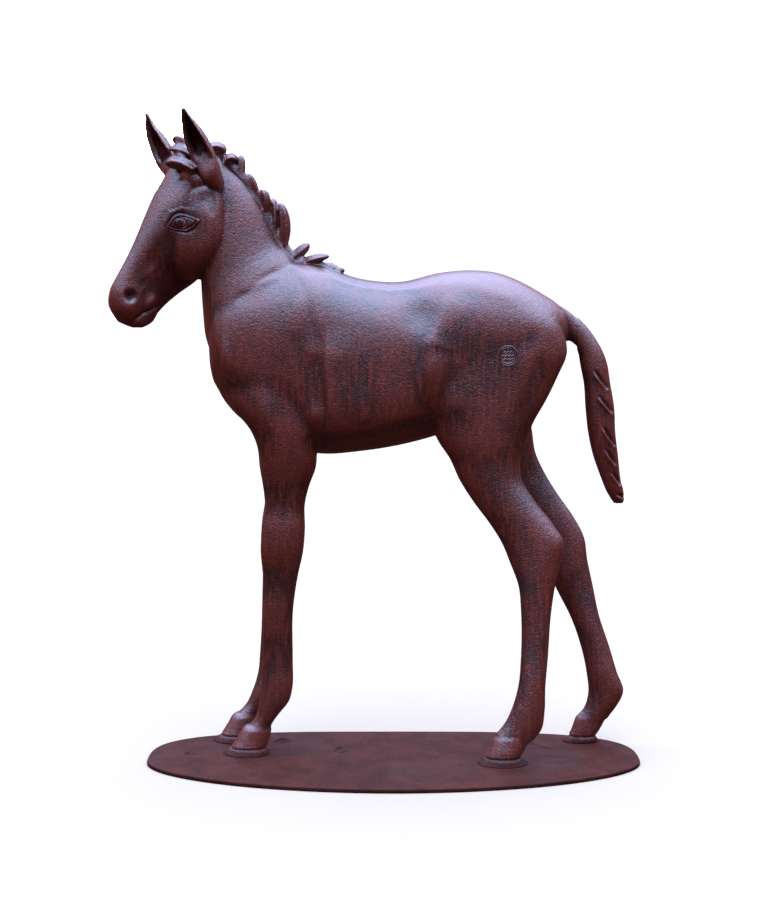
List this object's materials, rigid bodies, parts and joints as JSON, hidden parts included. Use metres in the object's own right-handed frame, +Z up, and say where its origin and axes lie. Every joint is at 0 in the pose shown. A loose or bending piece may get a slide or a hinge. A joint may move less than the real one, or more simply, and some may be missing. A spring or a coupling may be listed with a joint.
{
  "type": "foal sculpture",
  "caption": "Life-size cast iron foal standing with its head turned to its left, on a thin oval cast plate.",
  "frame": {"origin": "on the plate's flat underside, where its long axis crosses its widest place", "axes": "+Z up, -X the way the foal faces, -Y the foal's left side, which the picture shows"},
  "size_m": [1.0371, 0.4459, 1.2728],
  "materials": {
    "foal": "rust-brown patina, low sheen",
    "base_plate": "rust-brown patina, low sheen"
  },
  "bodies": {
    "root": {"foal": "foal", "base_plate": "base_plate"}
  },
  "joints": []
}
